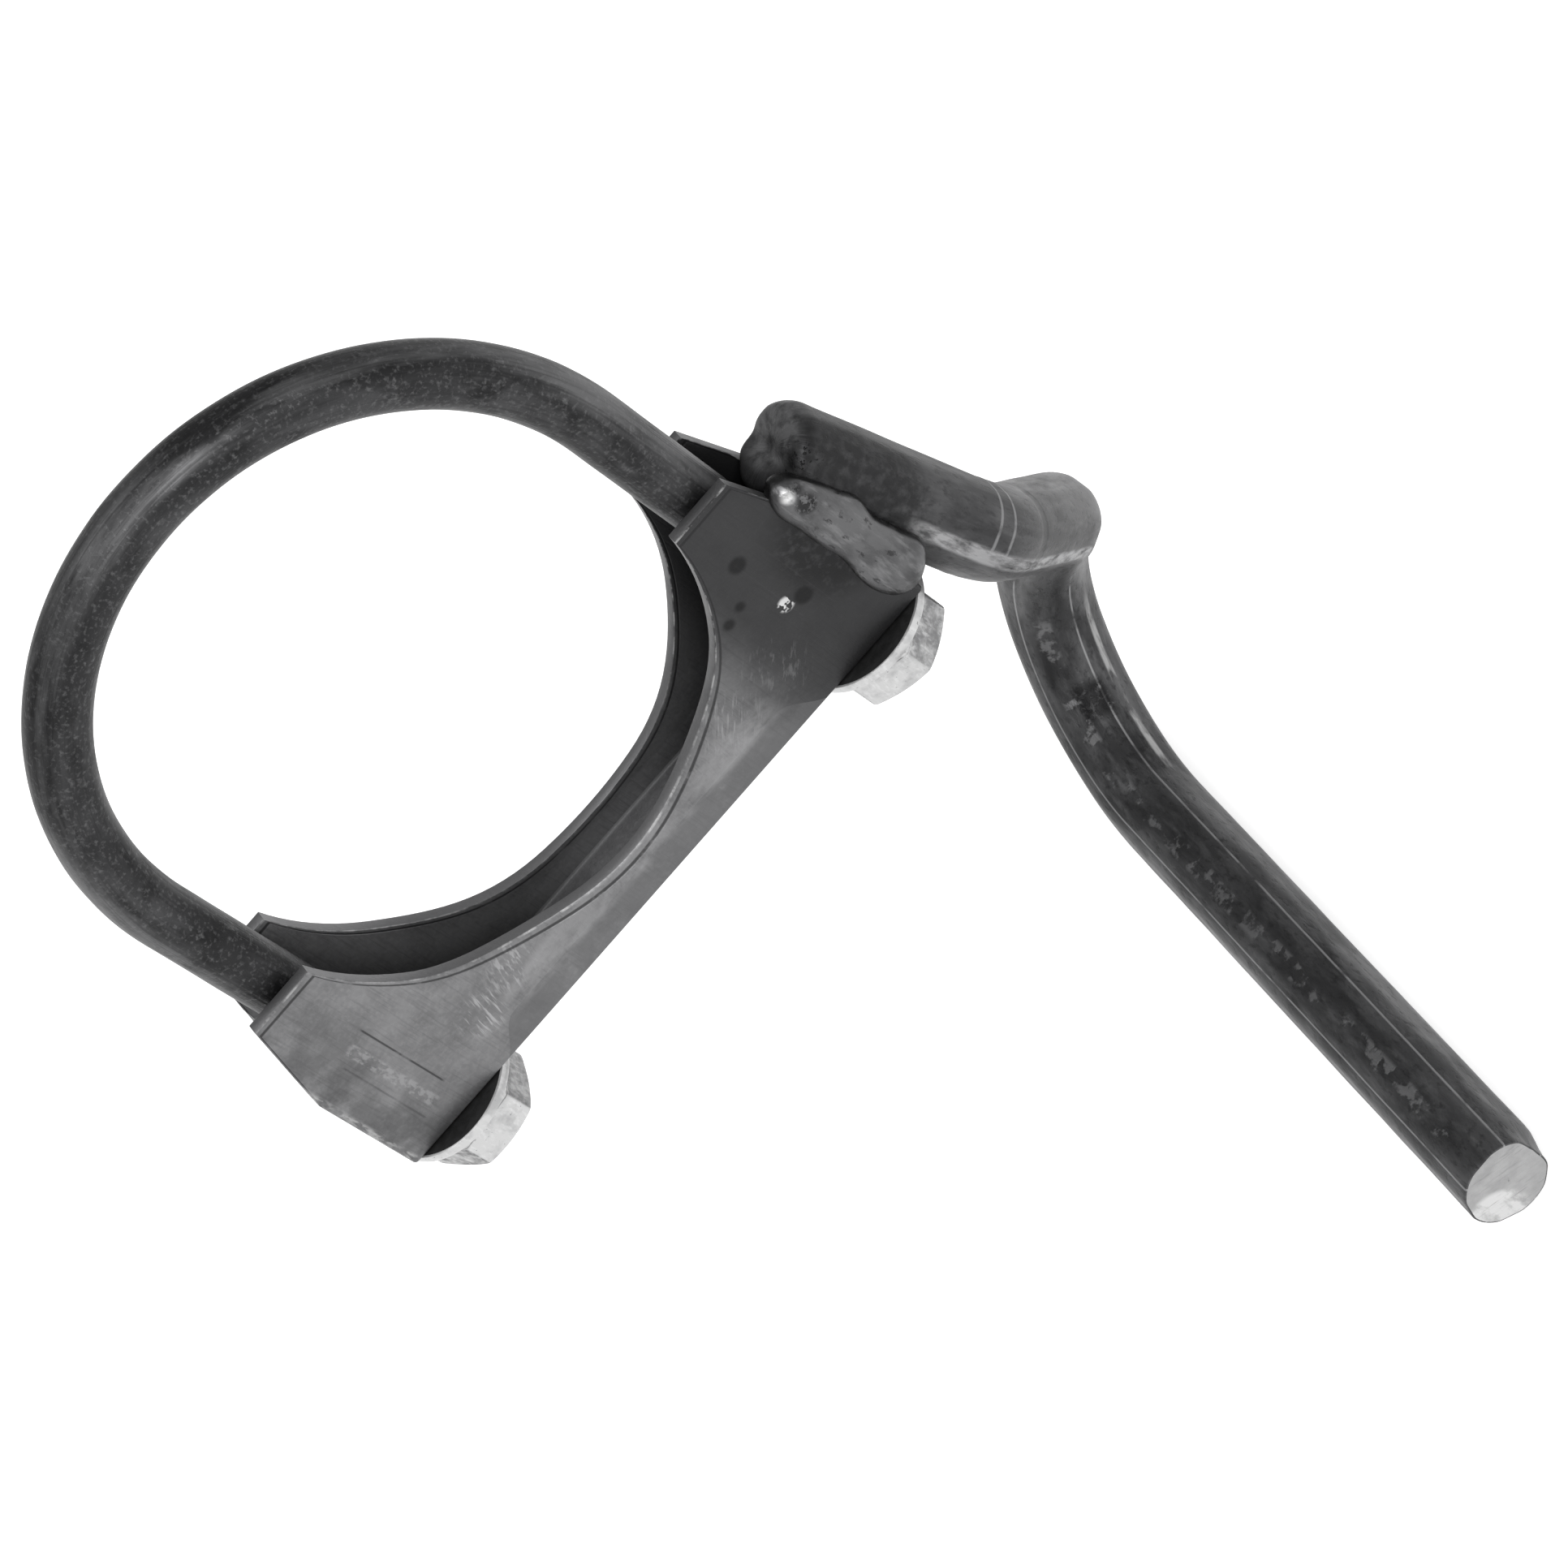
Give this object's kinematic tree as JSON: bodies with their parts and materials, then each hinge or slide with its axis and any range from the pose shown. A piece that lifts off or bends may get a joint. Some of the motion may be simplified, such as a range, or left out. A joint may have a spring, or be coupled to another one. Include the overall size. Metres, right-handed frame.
{
  "type": "u-bolt exhaust clamp with hanger rod",
  "caption": "U-bolt pipe clamp with a pressed channel saddle, hex flange nuts and a bent round hanger rod welded to one ear.",
  "frame": {"origin": "on the axis of the clamped pipe, in the saddle's mid-plane", "axes": "+X along the saddle towards the ear that carries the hanger rod, +Y along the pipe, +Z towards the closed end of the U-bolt"},
  "size_m": [0.1182, 0.1164, 0.1796],
  "materials": {
    "bolt_steel": "dark oiled mill finish",
    "saddle_steel": "pressed hot-rolled sheet, dull with scuffs",
    "rod_steel": "dark mill finish with lighter drawn streaks",
    "weld_metal": "as-welded, satin",
    "zinc_plate": "bright zinc, satin"
  },
  "bodies": {
    "bolt": {"u_bolt": "bolt_steel"},
    "saddle": {"saddle": "saddle_steel", "hanger_rod": "rod_steel", "weld_front": "weld_metal", "weld_back": "weld_metal"},
    "nut_left": {"flange_nut_left": "zinc_plate"},
    "nut_right": {"flange_nut_right": "zinc_plate"}
  },
  "joints": [
    {"name": "saddle_slide", "type": "slide", "parent": "bolt", "child": "saddle", "axis": [0, 0, 1], "range_m": [0, 0.0135]},
    {"name": "nut_left_turn", "type": "hinge", "parent": "saddle", "child": "nut_left", "pos_m": [-0.0394, 0, -0.047], "axis": [0, 0, 1], "range_deg": [0, 3062]},
    {"name": "nut_right_turn", "type": "hinge", "parent": "saddle", "child": "nut_right", "pos_m": [0.0394, 0, -0.047], "axis": [0, 0, 1], "range_deg": [0, 3062]}
  ],
  "couplings": [
    {"joint": "nut_left_turn", "follows": "saddle_slide", "rad_per_m": 3957.9},
    {"joint": "nut_right_turn", "follows": "saddle_slide", "rad_per_m": 3957.9}
  ]
}
